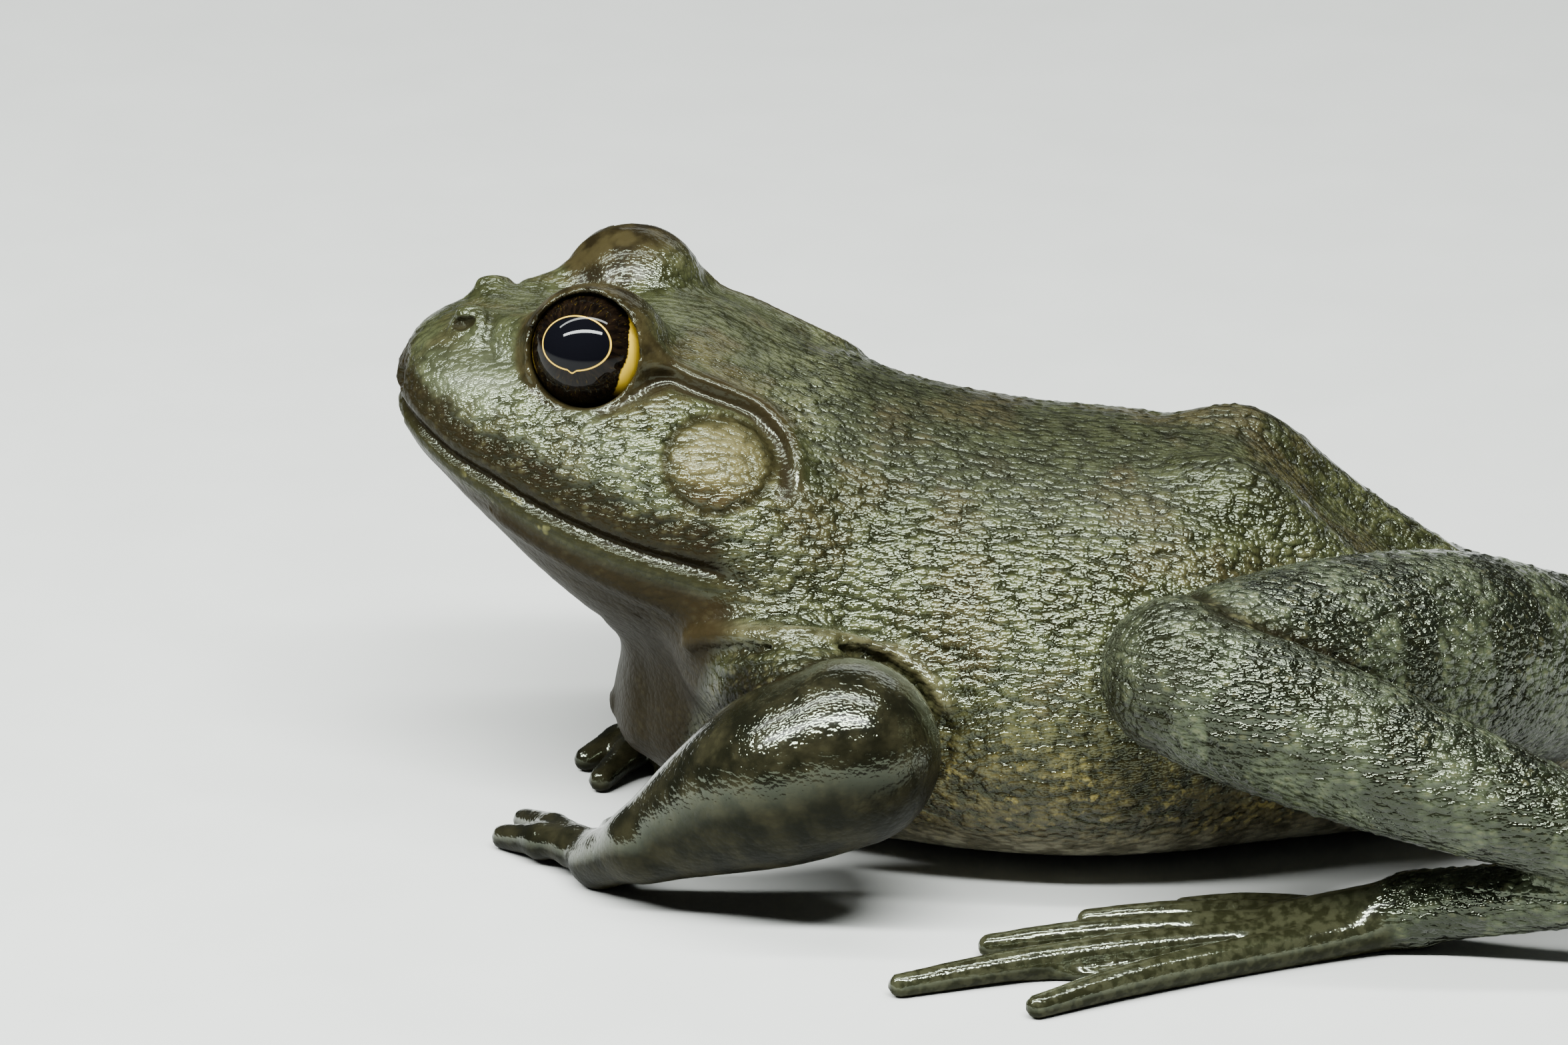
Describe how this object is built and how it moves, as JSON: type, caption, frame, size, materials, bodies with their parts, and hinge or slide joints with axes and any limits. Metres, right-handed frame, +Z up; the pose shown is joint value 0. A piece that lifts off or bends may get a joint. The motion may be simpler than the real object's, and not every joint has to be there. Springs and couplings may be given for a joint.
{
  "type": "bullfrog",
  "caption": "Sitting adult bullfrog with its head raised, granular wet skin, large eardrums, folded hind legs and webbed hind feet.",
  "frame": {"origin": "on the floor under the middle of the sitting frog's bounding box", "axes": "-Y is the way the frog faces, +X its left side, +Z up; it rests on Z = 0"},
  "size_m": [0.1457, 0.1546, 0.0644],
  "materials": {
    "head": "wet, finely granular olive skin",
    "throat": "wet, smooth mottled yellow skin",
    "trunk": "wet, granular olive-brown skin",
    "eardrum": "wet, taut thin skin",
    "eye": "wet gloss",
    "foreleg": "wet, nearly smooth brown skin",
    "hind_leg": "wet, granular dark banded skin",
    "foot": "wet, smooth webbed skin"
  },
  "bodies": {
    "root": {"head": "head", "lower_jaw": "throat", "trunk": "trunk", "eardrum_left": "eardrum", "eye_left": "eye", "upper_arm_left": "foreleg", "forearm_left": "foreleg", "hand_left": "foreleg", "thigh_left": "hind_leg", "shank_left": "hind_leg", "ankle_left": "hind_leg", "foot_left": "foot", "eardrum_right": "eardrum", "eye_right": "eye", "upper_arm_right": "foreleg", "forearm_right": "foreleg", "hand_right": "foreleg", "thigh_right": "hind_leg", "shank_right": "hind_leg", "ankle_right": "hind_leg", "foot_right": "foot"}
  },
  "joints": []
}
